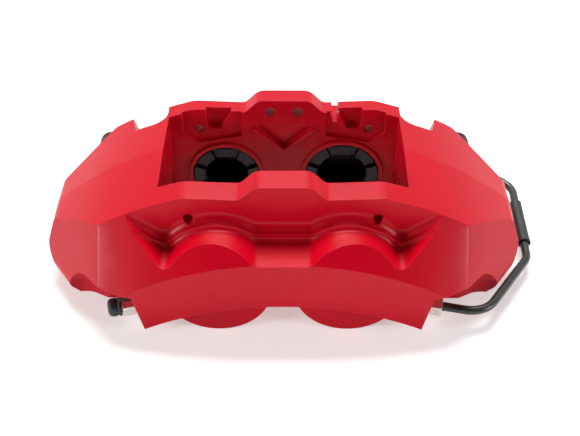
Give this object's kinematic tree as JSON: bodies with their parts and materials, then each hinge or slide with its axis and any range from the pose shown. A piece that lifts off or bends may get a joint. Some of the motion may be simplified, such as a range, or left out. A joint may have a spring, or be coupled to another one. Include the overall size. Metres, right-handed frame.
{
  "type": "disc brake caliper",
  "caption": "Fixed opposed-piston disc brake caliper in two bolted halves with a smooth front band, crossover pipe, bleed screws and an open pad window.",
  "frame": {"origin": "midway between the two mounting holes, on the mounting face of the inboard half's ears", "axes": "+X along the caliper towards the end that the crossover pipe goes round, +Y across the disc towards the inboard side, +Z away from the disc's axle, along the mounting bolts"},
  "size_m": [0.2768, 0.1412, 0.0805],
  "materials": {
    "body_coat": "satin red coating over machined and cast aluminium",
    "piston": "black hard-anodised, satin",
    "rubber": "black rubber, matt",
    "zinc": "bright zinc-plated steel",
    "black_steel": "black oxide on alloy steel",
    "pipe_coat": "dark coated steel tube, semi-gloss"
  },
  "bodies": {
    "root": {"outboard_half": "body_coat", "inboard_half": "body_coat", "wiper_outboard_small": "rubber", "seal_outboard_small": "rubber", "wiper_outboard_large": "rubber", "seal_outboard_large": "rubber", "wiper_inboard_small": "rubber", "seal_inboard_small": "rubber", "wiper_inboard_large": "rubber", "seal_inboard_large": "rubber", "pipe_nut_outboard": "zinc", "pipe_nut_inboard": "zinc", "bridge_bolts_long": "black_steel", "bridge_bolts_short": "black_steel", "bolt_washers": "zinc", "crossover_pipe": "pipe_coat", "pipe_sleeve": "rubber"},
    "piston_outboard_small": {"piston_outboard_small": "piston"},
    "piston_outboard_large": {"piston_outboard_large": "piston"},
    "piston_inboard_small": {"piston_inboard_small": "piston"},
    "piston_inboard_large": {"piston_inboard_large": "piston"},
    "bleed_screw_outboard": {"bleed_screw_outboard": "zinc"},
    "bleed_cap_outboard": {"bleed_cap_outboard": "rubber"},
    "bleed_screw_inboard": {"bleed_screw_inboard": "zinc"},
    "bleed_cap_inboard": {"bleed_cap_inboard": "rubber"}
  },
  "joints": [
    {"name": "piston_outboard_small_slide", "type": "slide", "parent": "root", "child": "piston_outboard_small", "axis": [0, 1, 0], "range_m": [0, 0.014]},
    {"name": "piston_outboard_large_slide", "type": "slide", "parent": "root", "child": "piston_outboard_large", "axis": [0, 1, 0], "range_m": [0, 0.014]},
    {"name": "piston_inboard_small_slide", "type": "slide", "parent": "root", "child": "piston_inboard_small", "axis": [0, -1, 0], "range_m": [0, 0.014]},
    {"name": "piston_inboard_large_slide", "type": "slide", "parent": "root", "child": "piston_inboard_large", "axis": [0, -1, 0], "range_m": [0, 0.014]},
    {"name": "bleed_screw_outboard_turn", "type": "hinge", "parent": "root", "child": "bleed_screw_outboard", "pos_m": [-0.075, -0.101, 0.0085], "axis": [-0.9744, -0.225, 0], "range_deg": [0, 180]},
    {"name": "bleed_cap_outboard_pull", "type": "slide", "parent": "bleed_screw_outboard", "child": "bleed_cap_outboard", "axis": [-0.9744, -0.225, 0], "range_m": [0, 0.012]},
    {"name": "bleed_screw_inboard_turn", "type": "hinge", "parent": "root", "child": "bleed_screw_inboard", "pos_m": [-0.075, 0.019, 0.0085], "axis": [-0.9744, 0.225, 0], "range_deg": [0, 180]},
    {"name": "bleed_cap_inboard_pull", "type": "slide", "parent": "bleed_screw_inboard", "child": "bleed_cap_inboard", "axis": [-0.9744, 0.225, 0], "range_m": [0, 0.012]}
  ]
}
